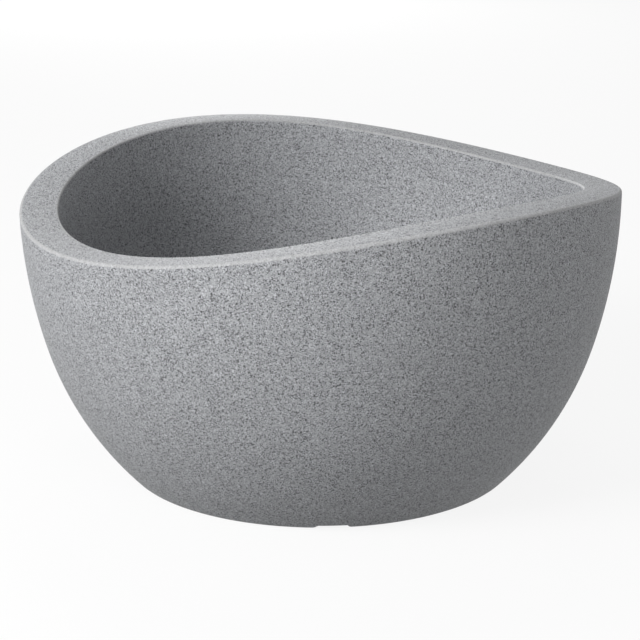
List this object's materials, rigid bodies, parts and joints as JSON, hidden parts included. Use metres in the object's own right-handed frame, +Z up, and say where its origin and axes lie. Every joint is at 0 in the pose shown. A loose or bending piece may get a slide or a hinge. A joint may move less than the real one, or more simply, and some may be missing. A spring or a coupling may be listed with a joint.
{
  "type": "bowl planter",
  "caption": "Round double-walled plastic planter bowl whose wide rim rises and falls in a wave, with a lined drain hole closed by a pull-out plug.",
  "frame": {"origin": "centre of the foot ring, on the ground", "axes": "+Z up; the rim's lower dip at -Y is the front, its higher dip is at +Y, and its two crests are on the X axis"},
  "size_m": [0.3999, 0.3994, 0.2093],
  "materials": {
    "granite_plastic": "matte grey with fine dark and pale granite specks",
    "fitting_plastic": "satin moulded dark grey plastic",
    "seal_rubber": "matte black rubber"
  },
  "bodies": {
    "planter": {"planter_shell": "granite_plastic", "drain_bush": "fitting_plastic", "bush_gasket": "seal_rubber", "bush_lock_nut": "fitting_plastic", "vent_plug": "fitting_plastic"},
    "plug": {"drain_plug": "fitting_plastic", "plug_seal": "seal_rubber"}
  },
  "joints": [
    {"name": "plug_lift", "type": "slide", "parent": "planter", "child": "plug", "axis": [0, 0, 1], "range_m": [0, 0.04]}
  ]
}
